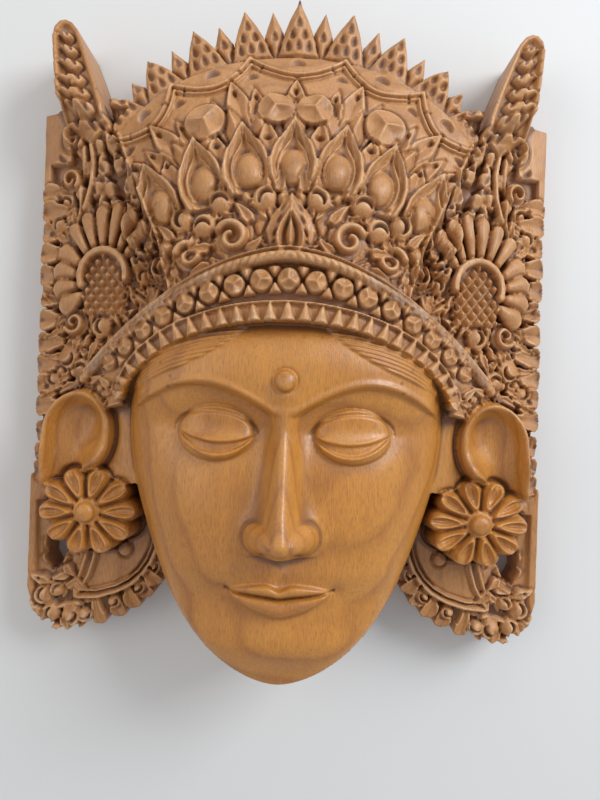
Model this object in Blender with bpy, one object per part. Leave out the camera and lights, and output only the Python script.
"""Balinese wall mask, carved from one block of wood and modelled lying on its flat back.

+Z comes out of the face, +Y runs from the chin to the top of the crown, and the origin is
the middle of the back. Every size is in metres and every heading in degrees from +Y to +X.
"""

import math

import bmesh
import bpy
from mathutils import Matrix, Vector

# Overall block
WIDTH = 0.244
HEIGHT = 0.303
EDGE_THICKNESS = 0.016
WING_RISE = 0.034
LOBE_THICKNESS = 0.019
BELOW_BACK = 0.006

# Crown: a domed fan with spikes round its rim
SPIKE_TIP_RADIUS = 0.130
RIM_RADIUS = 0.109
RIM_HALF_ANGLE = 50.0
RIM_HEIGHT = 0.028
CROWN_RISE = 0.044
CROWN_FALL_X = 0.100
CROWN_FALL_Y = 0.118
SPIKES_PER_SIDE = 8
SPIKE_PITCH = 5.7
SPIKE_WIDTH = 0.0215
SPIKE_DEPTH = 0.020
SCALLOP_RADIUS = 0.103
SCALLOP_SAG = 0.010
RIDGE_RADIUS = 0.0022
JEWEL_RADIUS = 0.0085
JEWEL_RING = 0.078
LOTUS_LENGTH = 0.036
LOTUS_WIDTH = 0.0225
LOTUS_HEIGHT = 0.007
LOTUS_PITCH = 0.0182
EGG_RADIUS = 0.0062

# Headband over the forehead
CORD_HALF_SPAN = 0.094
CORD_DROP = 0.0505
CORD_POWER = 1.7
CORD_RADIUS = 0.0034
BEADS_PER_SIDE = 9
BEAD_RADIUS = 0.0053
BEAD_HALF_SPAN = 0.079
BEAD_DROP = 0.034
BAND_EDGE_HEIGHT = 0.028
BAND_RISE = 0.050
BAND_FALL = 0.100
DENTIL_HALF_SPAN = 0.075
DENTIL_DROP = 0.042
DENTILS_PER_SIDE = 15
DENTIL_SIZE = 0.0046
SCROLL_THICKNESS = 0.0026

# Face: a head one and a half times as tall as wide, five eyes across
FACE_WIDTH = 0.142
FACE_DEPTH = 0.073
FACE_EDGE = 0.032
CHIN_EDGE = 0.056
NOSE_RISE = 0.023
FOREHEAD_MARK_RADIUS = 0.0045

# Ears, flower earrings and the lobes that hang below them
EAR_WIDTH = 0.035
EAR_LENGTH = 0.042
EAR_THICKNESS = 0.013
FLOWER_RADIUS = 0.0215
FLOWER_PETALS = 10
FLOWER_HEIGHT = 0.030
FLOWER_BOSS_RADIUS = 0.0062
HORN_THICKNESS = 0.040
HORN_LENGTH = 0.052
HORN_WIDTH = 0.022
BORDER_LEAF_WIDTH = 0.0105
BORDER_LEAF_LENGTH = 0.013

LEAF_EDGE_SINK = 0.0007

# Hollow in the back
WALL = 0.016
HOLLOW_LENGTH = 0.196

# Places worked out from the sizes above
HALF = WIDTH / 2
CROWN_Y = HEIGHT / 2 - SPIKE_TIP_RADIUS
CHIN_Y = -HEIGHT / 2
CORD_PEAK_Y = CROWN_Y + 0.0045
BEAD_PEAK_Y = CORD_PEAK_Y - 0.009
DENTIL_CENTRE_Y = CORD_PEAK_Y - 0.066
HEAD_HEIGHT = 1.5 * FACE_WIDTH
EYE_WIDTH = FACE_WIDTH / 5
EYE_Y = CHIN_Y + HEAD_HEIGHT / 2
THIRD = 0.28 * HEAD_HEIGHT
NOSE_Y = CHIN_Y + THIRD
BROW_Y = CHIN_Y + 2 * THIRD
MOUTH_Y = NOSE_Y - THIRD / 3
FACE_CENTRE_Y = EYE_Y + 0.002
FACE_TOP_Y = DENTIL_CENTRE_Y + DENTIL_DROP + 0.006
EAR_X = HALF - 0.0275
EAR_Y = CROWN_Y - 0.070
FLOWER_X = HALF - 0.0355
FLOWER_Y = CROWN_Y - 0.1035
SHELL_X = HALF - 0.036
SHELL_Y = CROWN_Y + 0.0005
SHELL_RADIUS = 0.0130
WING_TOP_Y = CROWN_Y + 0.081
BORDER_TOP_Y = CROWN_Y + 0.045
LOBE_TOP_Y = CROWN_Y - 0.0975
LOBE_BOTTOM_Y = CROWN_Y - 0.1665

# Leaf outlines: share of the length, of half the width, and of the height
LOTUS = ((0.0, 0.60, 0.55), (0.32, 0.92, 1.0), (0.66, 0.78, 0.95), (1.0, 0.0, 0.35))
LANCE = ((0.0, 0.55, 0.6), (0.4, 1.0, 1.0), (1.0, 0.0, 0.3))
ROUND = ((0.0, 0.4, 0.5), (0.72, 1.0, 1.0), (1.0, 0.5, 0.55))
FLUTE = ((0.0, 0.4, 0.5), (0.8, 1.0, 1.0), (1.0, 0.5, 0.6))
SPIKE = ((0.0, 1.05, 1.0), (1.0, 0.0, 0.45))
# Middle of the face from chin to forehead: share of the head's height, of the face's depth
PROFILE = ((0.0, 0.78), (0.09, 0.865), (0.165, 0.84), (0.24, 0.90), (0.36, 0.91), (0.50, 0.93),
           (0.57, 0.985), (0.70, 1.0), (0.85, 0.97), (1.1, 0.9))

# Share of the triangles that the fused carving keeps
KEPT_TRIANGLES = 0.43

WOOD_COLOUR = (0.48, 0.215, 0.075, 1.0)


def wing_z(x, y):
    """Height of the side wings, which slope down to the edge of the block."""
    return EDGE_THICKNESS + WING_RISE * max(0.0, 1 - (x / HALF) ** 2)


def lobe_z(x, y):
    return LOBE_THICKNESS


def crown_z(x, y):
    """Height of the domed crown."""
    across = max(0.0, 1 - (x / CROWN_FALL_X) ** 2)
    along = max(0.0, 1 - ((y - CROWN_Y) / CROWN_FALL_Y) ** 2)
    return RIM_HEIGHT + CROWN_RISE * across * along


def band_z(x, y):
    """Height of the headband, highest over the middle of the forehead."""
    return BAND_EDGE_HEIGHT + BAND_RISE * max(0.0, 1 - (x / BAND_FALL) ** 2)


def cord_y(x):
    return CORD_PEAK_Y - CORD_DROP * (abs(x) / CORD_HALF_SPAN) ** CORD_POWER


def bead_y(x):
    return BEAD_PEAK_Y - BEAD_DROP * (x / BEAD_HALF_SPAN) ** 2


def dentil_y(x):
    return DENTIL_CENTRE_Y + DENTIL_DROP * math.sqrt(max(0.0, 1 - (x / DENTIL_HALF_SPAN) ** 2))


def fan(radius, degrees):
    """A point of the crown, from its centre."""
    a = math.radians(degrees)
    return Vector((radius * math.sin(a), CROWN_Y + radius * math.cos(a)))


def evenly_along(curve, half_span, count):
    """Points at equal steps of length on the right half of a symmetric curve, from its middle."""
    fine = [Vector((half_span * i / 400, curve(half_span * i / 400))) for i in range(401)]
    run = [0.0]
    for a, b in zip(fine, fine[1:]):
        run.append(run[-1] + (b - a).length)
    places = []
    for k in range(count + 1):
        target = run[-1] * k / count
        i = min(range(len(run)), key=lambda j: abs(run[j] - target))
        places.append(fine[i])
    return places


def smooth(low, high, value):
    t = min(1.0, max(0.0, (value - low) / (high - low)))
    return t * t * (3 - 2 * t)


def bump(dx, dy, rx, ry):
    return math.exp(-((dx / rx) ** 2) - (dy / ry) ** 2)


def profile_z(y):
    """Height of the middle of the face, without its nose and lips."""
    share = (y - CHIN_Y) / HEAD_HEIGHT
    for (s0, z0), (s1, z1) in zip(PROFILE, PROFILE[1:]):
        if share <= s1:
            break
    t = smooth(s0, s1, share)
    return FACE_DEPTH * (z0 + (z1 - z0) * t)


def face_relief(x, y):
    """What the features add to the plain oval of the face."""
    ax = abs(x)
    eye = EYE_WIDTH
    over_eye = math.sin(math.pi * min(1.0, max(0.0, (ax - 0.15 * eye) / (2.2 * eye))))
    arch = BROW_Y - 0.0045 + 0.012 * over_eye
    between = (1 - smooth(0, 0.25 * eye, ax)) * (1 - smooth(BROW_Y - 0.002, BROW_Y + 0.007, y))
    z = 0.0035 * smooth(arch - 0.0035, arch + 0.001, y) * (1 - between)
    z -= 0.0060 * bump(ax - 0.95 * eye, y - EYE_Y - 0.004, 0.7 * eye, 0.012)

    along = min(1.0, max(0.0, (BROW_Y - y) / (BROW_Y - NOSE_Y - 0.003)))
    half = 0.0045 + 0.0035 * along
    ridge = NOSE_RISE * (0.20 + 0.80 * along**1.3) * math.exp(-((ax / half) ** 2.0))
    under_tip = smooth(NOSE_Y - 0.0040, NOSE_Y + 0.0015, y)
    z += ridge * under_tip * (1 - smooth(BROW_Y - 0.006, BROW_Y + 0.012, y))
    z += 0.0095 * bump(ax - 0.37 * eye, y - NOSE_Y - 0.0055, 0.0058, 0.0065) * under_tip

    reach = (ax - eye) / (0.55 * eye)
    drop = y - EYE_Y
    dome = 1 - reach**2 - (drop / 0.0115) ** 2
    if dome > 0:
        z += 0.0070 * math.sqrt(dome)
    span = max(0.0, 1 - reach**2)
    lid = EYE_Y - 0.0030 * span
    rim = EYE_Y - 0.0080 * span
    if span > 0:
        z -= 0.0016 * smooth(rim, rim + 0.0012, y) * (1 - smooth(lid - 0.0004, lid + 0.0004, y))

    half = 0.76 * eye
    lip = max(0.0, 1 - (ax / half) ** 2)
    seam = MOUTH_Y + 0.0020 * (ax / half) ** 2
    z += 0.0035 * bump(x, y - MOUTH_Y, 0.028, 0.015)
    z += 0.0036 * lip**0.7 * math.exp(-(((y - seam - 0.0036) / 0.0034) ** 2))
    z += 0.0046 * lip * math.exp(-(((y - seam + 0.0048) / 0.0042) ** 2))
    z -= 0.0022 * lip**0.4 * math.exp(-(((y - seam) / 0.0012) ** 2))
    z += 0.0030 * bump(x, y - CHIN_Y - 0.017, 0.017, 0.012)
    z += 0.0035 * bump(ax - 1.35 * eye, y - NOSE_Y - 0.014, 0.024, 0.026)
    return z


def face_outline(x, y):
    """The face's outline: a pointed oval below the eyes, and squarer above them."""
    up = y > 0
    power = 3.2 if up else 1.75
    size = (abs(x) ** power + abs(y) ** power) ** (1 / power)
    length = (FACE_TOP_Y - FACE_CENTRE_Y) if up else (FACE_CENTRE_Y - CHIN_Y)
    round_size = math.hypot(x, y)
    share = round_size / size if size else 1.0
    return FACE_WIDTH / 2 * x * share, FACE_CENTRE_Y + length * y * share


def face_point(u, v):
    """The face at (u, v) on a unit disc: an oval bowl with the features on it."""
    x, y = face_outline(u, v)
    edge = FACE_EDGE + (CHIN_EDGE - FACE_EDGE) * smooth(0.35, 1.0, -v)
    across = abs(u) / max(1e-6, math.sqrt(max(0.0, 1 - v * v)))
    section = max(0.0, 1 - min(1.0, across) ** 2.3) ** 0.5
    section *= max(0.0, 1 - abs(v) ** 6) ** 0.36 if v < 0 else 1 - 0.3 * v**4
    z = edge + (profile_z(y) - edge) * section
    return Vector((x, y, z + face_relief(x, y) * smooth(0.15, 0.6, section)))


def new_collection(name):
    collection = bpy.data.collections.new(name)
    bpy.context.scene.collection.children.link(collection)
    return collection


def add_shape(bm, name, collection):
    """A closed shape for the carving: joined to the block by a Boolean, and not a part itself."""
    bmesh.ops.triangulate(bm, faces=bm.faces)
    bmesh.ops.recalc_face_normals(bm, faces=bm.faces)
    mesh = bpy.data.meshes.new(name)
    bm.to_mesh(mesh)
    bm.free()
    obj = bpy.data.objects.new(name, mesh)
    obj.hide_render = True
    obj.display_type = "WIRE"
    collection.objects.link(obj)
    return obj


def add_boolean(obj, operation, operand):
    modifier = obj.modifiers.new(operation.title(), "BOOLEAN")
    modifier.operation = operation
    modifier.solver = "EXACT"
    if isinstance(operand, bpy.types.Collection):
        modifier.operand_type = "COLLECTION"
        modifier.collection = operand
    else:
        modifier.object = operand


def curve_shape(points, radius, taper, name, collection, closed=False, sides=0):
    """A tube along points, thinner towards its end by taper, as a mesh with welded caps."""
    curve = bpy.data.curves.new(name, "CURVE")
    curve.dimensions = "3D"
    curve.bevel_depth = radius
    curve.bevel_resolution = sides
    curve.use_fill_caps = not closed
    spline = curve.splines.new("POLY")
    spline.points.add(len(points) - 1)
    spline.use_cyclic_u = closed
    for i, (p, place) in enumerate(zip(spline.points, points)):
        p.co = (*place, 1)
        p.radius = 1 - taper * i / (len(points) - 1)
    return curve_to_shape(curve, name, collection)


def curve_to_shape(curve, name, collection):
    source = bpy.data.objects.new(name + "_line", curve)
    bpy.context.scene.collection.objects.link(source)
    graph = bpy.context.evaluated_depsgraph_get()
    mesh = bpy.data.meshes.new_from_object(source.evaluated_get(graph))
    bm = bmesh.new()
    bm.from_mesh(mesh)
    bmesh.ops.remove_doubles(bm, verts=bm.verts, dist=1e-6)
    bpy.data.objects.remove(source)
    return add_shape(bm, name, collection)


def prism(outline, low, high, name, collection, hole=None):
    """A flat outline made solid from low to high."""
    curve = bpy.data.curves.new(name, "CURVE")
    curve.dimensions = "2D"
    curve.fill_mode = "BOTH"
    curve.extrude = (high - low) / 2
    for ring in filter(None, (outline, hole)):
        spline = curve.splines.new("POLY")
        spline.points.add(len(ring) - 1)
        spline.use_cyclic_u = True
        for p, place in zip(spline.points, ring):
            p.co = (place[0], place[1], 0, 1)
    shape = curve_to_shape(curve, name, collection)
    shape.data.transform(Matrix.Translation((0, 0, (high + low) / 2)))
    return shape


def height_block(outline, height, columns, rows, name, collection, hole=None):
    """A block with the outline's sides and a top at height(x, y)."""
    xs = [p[0] for p in outline]
    ys = [p[1] for p in outline]
    margin = 0.002
    bm = bmesh.new()
    bmesh.ops.create_grid(bm, x_segments=columns, y_segments=rows, size=0.5)
    wide, tall = max(xs) - min(xs) + 2 * margin, max(ys) - min(ys) + 2 * margin
    for v in bm.verts:
        v.co.x = (max(xs) + min(xs)) / 2 + v.co.x * wide
        v.co.y = (max(ys) + min(ys)) / 2 + v.co.y * tall
        v.co.z = -BELOW_BACK
    raised = bmesh.ops.extrude_face_region(bm, geom=bm.faces[:], use_keep_orig=True)
    for v in raised["geom"]:
        if isinstance(v, bmesh.types.BMVert):
            v.co.z = height(v.co.x, v.co.y)
    block = add_shape(bm, name, collection)
    cutter = prism(outline, -2 * BELOW_BACK, 0.2, name + "_outline", bpy.data.collections["outlines"], hole)
    add_boolean(block, "INTERSECT", cutter)
    return block


def leaf(root, heading, length, width, height, outline, surface, name, collection, groove=None, sink=0.006, lift=0.0,
         edge=0.0):
    """A carved leaf lying on a surface, from its root along a heading, ridged or grooved down its middle."""
    columns = 2 if groove is None else 4
    bm = bmesh.new()
    bmesh.ops.create_grid(bm, x_segments=columns, y_segments=len(outline) - 1, size=0.5)
    turn = Matrix.Rotation(-math.radians(heading), 2)
    for v in bm.verts:
        share, half, rise = outline[round((v.co.y + 0.5) * (len(outline) - 1))]
        across = v.co.x * 2
        place = Vector(root) + turn @ Vector((across * half * width / 2, share * length))
        ridge = 1 - (1 - edge) * abs(across) if half else 1.0
        if groove is not None and half and abs(across) < 0.9:
            ridge = 1.0 if abs(across) > 0.1 else 1 - groove
        z = surface(*place) + lift * share + height * rise * ridge
        v.co = Vector((*place, z - (LEAF_EDGE_SINK if ridge < 0.01 else 0.0)))
    made = bmesh.ops.extrude_face_region(bm, geom=bm.faces[:], use_keep_orig=True)
    for v in made["geom"]:
        if isinstance(v, bmesh.types.BMVert):
            v.co.z = surface(v.co.x, v.co.y) - sink
    bmesh.ops.remove_doubles(bm, verts=bm.verts, dist=1e-6)
    return add_shape(bm, name, collection)


def ball(place, radii, name, collection, segments=6, rings=4):
    bm = bmesh.new()
    bmesh.ops.create_uvsphere(bm, u_segments=segments, v_segments=rings, radius=1.0)
    bmesh.ops.scale(bm, vec=radii, verts=bm.verts)
    bmesh.ops.translate(bm, vec=place, verts=bm.verts)
    return add_shape(bm, name, collection)


def scroll(centre, radius, start, way, surface, name, collection, turns=0.95):
    """A volute: a tube that winds in to its eye and rises a little."""
    count = 6
    points = []
    for i in range(count):
        t = i / (count - 1)
        a = math.radians(start) + way * t * turns * 2 * math.pi
        r = radius * (1 - 0.72 * t)
        x, y = centre[0] + r * math.sin(a), centre[1] + r * math.cos(a)
        points.append((x, y, surface(x, y) + SCROLL_THICKNESS * (0.4 + 0.8 * t)))
    return curve_shape(points, SCROLL_THICKNESS, 0.35, name, collection)


def both_sides():
    return ((-1, "left"), (1, "right"))


def mirrored(points, side):
    return [(side * x, y) for x, y in points]


def build_blocks(carving):
    """The big forms: wings, lobes, crown and headband."""
    for side, word in both_sides():
        wing = [
            (0.042, BORDER_TOP_Y),
            (0.060, CROWN_Y + 0.070),
            (HALF - 0.016, WING_TOP_Y),
            (HALF - 0.001, WING_TOP_Y),
            (HALF - 0.001, BORDER_TOP_Y),
            (HALF - 0.005, BORDER_TOP_Y - 0.004),
            (HALF - 0.005, LOBE_TOP_Y - 0.004),
            (0.048, LOBE_TOP_Y + 0.010),
            (0.042, EAR_Y),
        ]
        height_block(mirrored(wing, side), wing_z, 8, 1, f"wing_{word}", carving)
        lobe = [
            (HALF, LOBE_TOP_Y + 0.006),
            (HALF, LOBE_BOTTOM_Y + 0.021),
            (HALF - 0.003, LOBE_BOTTOM_Y + 0.010),
            (HALF - 0.010, LOBE_BOTTOM_Y + 0.003),
            (HALF - 0.018, LOBE_BOTTOM_Y),
            (HALF - 0.027, LOBE_BOTTOM_Y + 0.003),
            (HALF - 0.039, LOBE_BOTTOM_Y + 0.011),
            (HALF - 0.051, LOBE_BOTTOM_Y + 0.023),
            (HALF - 0.062, LOBE_BOTTOM_Y + 0.038),
            (HALF - 0.072, LOBE_TOP_Y),
            (HALF - 0.072, LOBE_TOP_Y + 0.012),
        ]
        hole = [
            (HALF - 0.0085, LOBE_TOP_Y - 0.024),
            (HALF - 0.0080, LOBE_TOP_Y - 0.034),
            (HALF - 0.0110, LOBE_TOP_Y - 0.039),
            (HALF - 0.0160, LOBE_TOP_Y - 0.035),
            (HALF - 0.0185, LOBE_TOP_Y - 0.028),
            (HALF - 0.0170, LOBE_TOP_Y - 0.022),
        ]
        prism(mirrored(lobe, side), -BELOW_BACK, LOBE_THICKNESS, f"lobe_{word}", carving, mirrored(hole, side))

    arc = [fan(RIM_RADIUS, RIM_HALF_ANGLE * k / 8) for k in range(-8, 9)]
    corner = (0.057, CROWN_Y + 0.0135)
    foot = (0.046, CROWN_Y - 0.030)
    crown = [(-foot[0], foot[1]), (-corner[0], corner[1]), *arc, corner, foot]
    height_block(crown, crown_z, 8, 6, "crown_dome", carving)

    upper = [(x, y + CORD_RADIUS) for x, y in evenly_along(cord_y, CORD_HALF_SPAN, 9)]
    lower = [(x, y - 0.001) for x, y in evenly_along(dentil_y, 0.965 * DENTIL_HALF_SPAN, 8)]
    lower.append((0.965 * DENTIL_HALF_SPAN, EAR_Y + 0.005))
    lower.append((CORD_HALF_SPAN, EAR_Y + 0.010))
    right = upper + lower[::-1]
    left = [(-x, y) for x, y in (lower[1:] + upper[:0:-1])]
    height_block(right + left, band_z, 12, 1, "headband", carving)


def build_face(carving):
    cells = 60
    bm = bmesh.new()
    bmesh.ops.create_grid(bm, x_segments=cells, y_segments=cells, size=1.0)
    for v in bm.verts:
        a, b = v.co.x, v.co.y
        v.co = face_point(a * math.sqrt(1 - b * b / 2), b * math.sqrt(1 - a * a / 2))
    for height, scale in ((0.5, 0.985), (-BELOW_BACK / FACE_EDGE, 0.95)):
        skirt = bmesh.ops.extrude_edge_only(bm, edges=[e for e in bm.edges if e.is_boundary])
        for v in skirt["geom"]:
            if isinstance(v, bmesh.types.BMVert):
                v.co.x *= scale
                v.co.y = FACE_CENTRE_Y + (v.co.y - FACE_CENTRE_Y) * scale
                v.co.z = FACE_EDGE * height
    bmesh.ops.contextual_create(bm, geom=[e for e in bm.edges if e.is_boundary])
    face = add_shape(bm, "face", carving)
    fewer = face.modifiers.new("Decimate", "DECIMATE")
    fewer.ratio = 0.2
    fewer.use_symmetry = True
    mark = Vector((0, BROW_Y + 0.009, profile_z(BROW_Y + 0.009) + 0.003))
    ball(mark, (FOREHEAD_MARK_RADIUS,) * 3, "forehead_mark", carving)


def build_headband(carving):
    cord = evenly_along(cord_y, CORD_HALF_SPAN, 9)
    line = [(-x, y) for x, y in cord[:0:-1]] + [tuple(p) for p in cord]
    cord_points = [(x, y, band_z(x, y) + 0.5 * CORD_RADIUS) for x, y in line]
    curve_shape(cord_points, CORD_RADIUS, 0.0, "headband_cord", carving)

    beads = evenly_along(bead_y, BEAD_HALF_SPAN, BEADS_PER_SIDE)
    dentils = evenly_along(dentil_y, 0.95 * DENTIL_HALF_SPAN, DENTILS_PER_SIDE)
    for side, word in both_sides():
        for k, (x, y) in enumerate(beads):
            if side < 0 and k == 0:
                continue
            radius = BEAD_RADIUS * (1 - 0.25 * k / BEADS_PER_SIDE)
            ball((side * x, y, band_z(x, y) + 0.001), (radius,) * 3, f"bead_{word}_{k}", carving)
        for k, (x, y) in enumerate(dentils):
            if side < 0 and k == 0:
                continue
            ahead = dentils[min(k + 1, len(dentils) - 1)] - dentils[max(k - 1, 0)]
            bm = bmesh.new()
            bmesh.ops.create_cone(
                bm, cap_ends=True, segments=4, radius1=0.76 * DENTIL_SIZE, radius2=0.45 * DENTIL_SIZE, depth=0.009
            )
            slope = side * math.atan2(ahead.y, ahead.x)
            bmesh.ops.rotate(bm, verts=bm.verts, matrix=Matrix.Rotation(math.pi / 4 + slope, 3, "Z"))
            bmesh.ops.translate(bm, verts=bm.verts, vec=(side * x, y + 0.0015, band_z(x, y) - 0.0012))
            add_shape(bm, f"dentil_{word}_{k}", carving)


def build_crown(carving):
    for k in range(-SPIKES_PER_SIDE, SPIKES_PER_SIDE + 1):
        large = k % 2 == 0
        reach = SPIKE_TIP_RADIUS - 0.010 * abs(k) / SPIKES_PER_SIDE - (0 if large else 0.002)
        inner = RIM_RADIUS - (0.006 if large else 0.002)
        width = SPIKE_WIDTH * (1.0 if large else 0.72)
        heading = SPIKE_PITCH * k

        step = 0.0005 * (k % 4)

        def rim_z(x, y, large=large, step=step):
            return RIM_HEIGHT + (0.003 if large else -0.001) - step

        leaf(fan(inner, heading), heading, reach - inner, width, 0.005, SPIKE, rim_z, f"spike_{k}", carving,
             sink=SPIKE_DEPTH, edge=0.3)

    cusps = (-52.0, -33.0, -11.5, 11.5, 33.0, 52.0)
    for n, (a, b) in enumerate(zip(cusps, cusps[1:])):
        line = []
        for i in range(7):
            t = i / 6
            x, y = fan(SCALLOP_RADIUS - SCALLOP_SAG * math.sin(math.pi * t), a + (b - a) * t)
            line.append((x, y, crown_z(x, y) + 0.0004))
        curve_shape(line, RIDGE_RADIUS, 0.0, f"scallop_{n}", carving)

    for n, heading in enumerate((-42.0, -25.5, -8.0, 8.0, 25.5, 42.0)):
        x, y = fan(JEWEL_RING, heading)
        ball((x, y, crown_z(x, y)), (JEWEL_RADIUS, JEWEL_RADIUS * 1.1, JEWEL_RADIUS * 0.9), f"jewel_{n}", carving)
    for n, heading in enumerate((-50.0, -34.0, -17.0, 0.0, 17.0, 34.0, 50.0)):
        leaf(fan(JEWEL_RING - 0.018, heading), heading, 0.032, 0.010, 0.005, LANCE, crown_z, f"tall_leaf_{n}", carving)

    egg_rows = ((0, 0.0435), (1, 0.0430), (2, 0.0375), (3, 0.0290))
    for side, word in both_sides():
        for k, rise in egg_rows:
            if side < 0 and k == 0:
                continue
            x, y = side * k * LOTUS_PITCH, CROWN_Y + rise
            heading = side * k * 5.5
            leaf((x, y - 0.009), heading, LOTUS_LENGTH, LOTUS_WIDTH, LOTUS_HEIGHT, LOTUS, crown_z,
                 f"lotus_{word}_{k}", carving, groove=0.1, edge=0.45)
            ball((x, y, crown_z(x, y) + 0.5 * LOTUS_HEIGHT), (EGG_RADIUS, EGG_RADIUS * 1.4, EGG_RADIUS),
                 f"egg_{word}_{k}", carving)
        for k in range(3):
            x = side * (k + 0.5) * LOTUS_PITCH
            y = CROWN_Y + 0.028 - 0.004 * k
            leaf((x, y), side * (k + 0.5) * 5.5, 0.034, 0.0095, 0.0095, LANCE, crown_z, f"bud_{word}_{k}", carving)
        scrolls = ((0.017, 0.0130, 0.0068), (0.0315, 0.0065, 0.0074), (0.046, -0.0020, 0.0062),
                   (0.024, 0.0235, 0.0055), (0.040, 0.0190, 0.0060), (0.0555, 0.0070, 0.0060))
        for n, (x, rise, radius) in enumerate(scrolls):
            scroll((side * x, CROWN_Y + rise), radius, 200 * side, -side, crown_z, f"scroll_{word}_{n}", carving)
    leaf((0, CROWN_Y + 0.006), 0, 0.026, 0.019, 0.009, LOTUS, crown_z, "centre_leaf", carving)


def build_wings(carving):
    for side, word in both_sides():
        centre = Vector((side * SHELL_X, SHELL_Y))
        arch = []
        for i in range(9):
            a = math.radians(-95 + 200 * i / 8) * side
            x, y = centre.x + SHELL_RADIUS * math.sin(a), centre.y + SHELL_RADIUS * math.cos(a)
            arch.append((x, y, wing_z(x, y) + 0.004))
        curve_shape(arch, 0.0034, 0.0, f"shell_{word}", carving)
        for k in range(10):
            heading = side * (-48 + 20 * k)
            step = Vector((math.sin(math.radians(heading)), math.cos(math.radians(heading))))
            long = 0.020 if k < 5 else 0.0165
            leaf(centre + step * (SHELL_RADIUS + 0.001), heading, long, 0.0076, 0.005, FLUTE if k < 5 else ROUND, wing_z,
                 f"ray_{word}_{k}", carving, lift=0.002)
        for row, count in enumerate((2, 3, 2)):
            for i in range(count):
                x = centre.x + (i - (count - 1) / 2) * 0.0062
                y = centre.y + 0.0045 - row * 0.0055
                bm = bmesh.new()
                bmesh.ops.create_cone(bm, cap_ends=True, segments=4, radius1=0.0036, radius2=0.0008, depth=0.009)
                bmesh.ops.translate(bm, vec=(x, y, wing_z(x, y)), verts=bm.verts)
                add_shape(bm, f"scale_{word}_{row}_{i}", carving)

        for k in range(14):
            y = BORDER_TOP_Y - 0.004 - k * 0.0103
            heading = side * (78 + 2.5 * k)
            leaf((side * (HALF - 0.0147), y), heading, BORDER_LEAF_LENGTH, BORDER_LEAF_WIDTH, 0.003, ROUND,
                 lambda x, y: EDGE_THICKNESS - 0.001, f"border_{word}_{k}", carving, sink=EDGE_THICKNESS)

        stem = [(0.088, 0.030), (0.0905, 0.045), (0.0925, 0.060), (0.0940, 0.075), (0.0975, 0.088)]
        line = [(side * x, CROWN_Y + y, wing_z(x, 0) + 0.003) for x, y in stem]
        curve_shape(line, 0.0030, 0.3, f"stem_{word}", carving)
        curls = ((0.1035, 0.0470, 0.0062), (0.1040, 0.0620, 0.0055), (0.0800, 0.0530, 0.0055), (0.0850, 0.0680, 0.0048),
                 (0.1010, -0.0190, 0.0066), (0.0850, -0.0210, 0.0052), (0.1040, -0.0360, 0.0055), (0.0700, 0.0080, 0.0052),
                 (0.0735, 0.0350, 0.0050))
        for n, (x, rise, radius) in enumerate(curls):
            scroll((side * x, CROWN_Y + rise), radius, 30 * side, side, wing_z, f"curl_{word}_{n}", carving)
        for n, (x, rise, heading) in enumerate(((0.110, 0.030, 20), (0.106, 0.000, 60), (0.106, -0.050, 60),
                                                (0.094, -0.008, 160), (0.066, 0.050, -10), (0.074, 0.062, 5))):
            leaf((side * x, CROWN_Y + rise), side * heading, 0.014, 0.008, 0.005, LANCE, wing_z, f"spray_{word}_{n}", carving)


def build_horns(carving):
    for side, word in both_sides():
        base_y = WING_TOP_Y - 0.012
        lean = 14.0
        axis = Vector((math.sin(math.radians(lean)), math.cos(math.radians(lean))))
        across = Vector((axis.y, -axis.x))
        root = Vector((HALF - 0.0255, base_y))
        shares = ((0.0, 0.5, 0.5), (0.35, 0.44, 0.40), (0.7, 0.34, 0.34), (0.93, 0.24, 0.26), (1.0, 0.08, 0.12))
        ring = [root + axis * s * HORN_LENGTH - across * a * HORN_WIDTH for s, a, b in shares]
        ring += [root + axis * s * HORN_LENGTH + across * b * HORN_WIDTH for s, a, b in shares[::-1]]
        outline = mirrored([tuple(p) for p in ring], side)

        def horn_z(x, y):
            return HORN_THICKNESS - 0.16 * (y - base_y)

        height_block(outline, horn_z, 1, 2, f"horn_{word}", carving)
        for n in range(3):
            for flank in (-1, 1):
                place = root + axis * (0.005 + 0.0135 * n) + across * flank * 0.0015
                leaf((side * place.x, place.y), side * (lean + flank * 26), 0.0150, 0.0085, 0.0035, ROUND, horn_z,
                     f"horn_leaf_{word}_{n}_{flank + 1}", carving)


def build_ears(carving):
    for side, word in both_sides():
        bm = bmesh.new()
        profile = ((0.0, 0.20), (0.45, 0.28), (0.78, 0.85), (0.90, 1.0), (1.0, 0.7), (1.02, -1.2))
        ring = [bm.verts.new((r, 0, z)) for r, z in profile]
        line = [bm.edges.new(pair) for pair in zip(ring, ring[1:])]
        bmesh.ops.spin(bm, geom=ring + line, axis=(0, 0, 1), cent=(0, 0, 0), steps=12, angle=2 * math.pi, use_merge=True)
        bmesh.ops.remove_doubles(bm, verts=bm.verts, dist=1e-5)
        bmesh.ops.contextual_create(bm, geom=[e for e in bm.edges if e.is_boundary])
        bmesh.ops.scale(bm, vec=(EAR_WIDTH / 2, EAR_LENGTH / 2, EAR_THICKNESS), verts=bm.verts)
        place = (side * EAR_X, EAR_Y, wing_z(EAR_X, EAR_Y))
        bmesh.ops.translate(bm, vec=place, verts=bm.verts)
        add_shape(bm, f"ear_{word}", carving)


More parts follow.
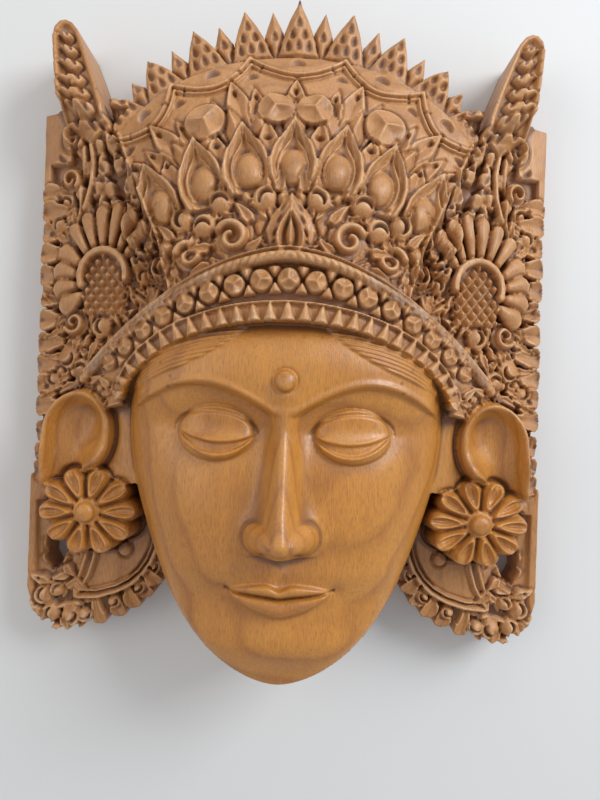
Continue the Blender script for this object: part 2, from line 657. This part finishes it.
def build_earrings(carving):
    for side, word in both_sides():
        profile = ((0.20, 0.0), (0.42, 0.004), (0.86, 0.004), (1.0, 0.001), (0.94, -0.006), (0.70, -0.009), (0.70, -0.020))
        bm = bmesh.new()
        ring = [bm.verts.new((FLOWER_RADIUS * r, 0, z)) for r, z in profile]
        line = [bm.edges.new(pair) for pair in zip(ring, ring[1:])]
        steps = 4 * FLOWER_PETALS
        bmesh.ops.spin(bm, geom=ring + line, axis=(0, 0, 1), cent=(0, 0, 0), steps=steps, angle=2 * math.pi)
        bmesh.ops.remove_doubles(bm, verts=bm.verts, dist=1e-5)
        for v in bm.verts:
            step = round(math.atan2(v.co.y, v.co.x) / (2 * math.pi) * steps)
            reach = math.hypot(v.co.x, v.co.y) / FLOWER_RADIUS
            if step % 4 == 0 and v.co.z > -0.005:
                v.co.z -= 0.0045 * reach
                v.co.xy *= 1 - 0.16 * reach
            elif step % 4 == 2 and 0.3 < reach < 0.9 and v.co.z > 0:
                v.co.z -= 0.0020
            v.co.z -= 0.15 * side * v.co.x
        bmesh.ops.holes_fill(bm, edges=[e for e in bm.edges if e.is_boundary], sides=0)
        bmesh.ops.translate(bm, vec=(side * FLOWER_X, FLOWER_Y, FLOWER_HEIGHT + 0.004), verts=bm.verts)
        add_shape(bm, f"flower_{word}", carving)
        middle = (side * FLOWER_X, FLOWER_Y, FLOWER_HEIGHT + 0.006)
        ball(middle, (FLOWER_BOSS_RADIUS,) * 3, f"boss_{word}", carving, 8, 5)

        tip = (HALF - 0.020, LOBE_BOTTOM_Y + 0.011)
        outer = [(HALF - 0.066, LOBE_TOP_Y - 0.010), (HALF - 0.060, LOBE_TOP_Y - 0.024), (HALF - 0.048, LOBE_TOP_Y - 0.038),
                 (HALF - 0.034, LOBE_TOP_Y - 0.050), tip]
        inner = [(HALF - 0.030, LOBE_TOP_Y - 0.022), (HALF - 0.029, LOBE_TOP_Y - 0.034), (HALF - 0.026, LOBE_TOP_Y - 0.046), tip]
        for n, ridge in enumerate((outer, inner)):
            line = [(side * x, y, LOBE_THICKNESS + 0.0005) for x, y in ridge]
            curve_shape(line, 0.0024, 0.2, f"lobe_ridge_{word}_{n}", carving)
        ball((side * (HALF - 0.044), LOBE_TOP_Y - 0.028, LOBE_THICKNESS), (0.0035, 0.0045, 0.003), f"drop_{word}", carving)
        for n in range(6):
            t = n / 5
            x, y = HALF - 0.058 + 0.036 * t, LOBE_TOP_Y - 0.033 - 0.034 * t
            leaf((side * (x + 0.003), y + 0.003), side * (215 - 30 * t), 0.0105, 0.0078, 0.003, ROUND, lobe_z,
                 f"fringe_{word}_{n}", carving, sink=LOBE_THICKNESS - 0.002)
        for n, (x, y) in enumerate(((0.008, 0.049), (0.014, 0.058), (0.007, 0.060))):
            scroll((side * (HALF - x), LOBE_TOP_Y - y), 0.0048, 90 * n, side, lobe_z, f"lobe_curl_{word}_{n}", carving)


def build_cutters(cutters):
    depth = FACE_DEPTH - WALL
    width = FACE_WIDTH / 2 - WALL
    ball((0, CHIN_Y + WALL + 0.006 + HOLLOW_LENGTH / 2, 0), (width, HOLLOW_LENGTH / 2, depth), "hollow", cutters, 16, 10)
    bm = bmesh.new()
    bmesh.ops.create_cube(bm, size=1.0)
    bmesh.ops.scale(bm, vec=(2 * WIDTH, 2 * HEIGHT, 0.1), verts=bm.verts)
    bmesh.ops.translate(bm, vec=(0, 0, -0.05), verts=bm.verts)
    add_shape(bm, "floor_cut", cutters)


def wood():
    material = bpy.data.materials.new("carved_hibiscus_wood")
    material.use_nodes = True
    shader = material.node_tree.nodes["Principled BSDF"]
    shader.inputs["Base Color"].default_value = WOOD_COLOUR
    shader.inputs["Roughness"].default_value = 0.42
    shader.inputs["Metallic"].default_value = 0.0
    return material


def main():
    for obj in list(bpy.data.objects):
        bpy.data.objects.remove(obj)
    part = new_collection("balinese_mask")
    carving = new_collection("carving")
    new_collection("outlines")
    cutters = new_collection("cutters")

    build_blocks(carving)
    build_face(carving)
    build_headband(carving)
    build_crown(carving)
    build_wings(carving)
    build_horns(carving)
    build_ears(carving)
    build_earrings(carving)
    build_cutters(cutters)

    bm = bmesh.new()
    bmesh.ops.create_cube(bm, size=1.0)
    bmesh.ops.scale(bm, vec=(0.06, 0.10, 0.03), verts=bm.verts)
    bmesh.ops.translate(bm, vec=(0, FACE_CENTRE_Y, 0.010), verts=bm.verts)
    mesh = bpy.data.meshes.new("carved_mask")
    bm.to_mesh(mesh)
    bm.free()
    mask = bpy.data.objects.new("carved_mask", mesh)
    part.objects.link(mask)
    mesh.materials.append(wood())
    add_boolean(mask, "UNION", carving)
    fewer = mask.modifiers.new("Decimate", "DECIMATE")
    fewer.ratio = KEPT_TRIANGLES
    add_boolean(mask, "DIFFERENCE", cutters)


main()
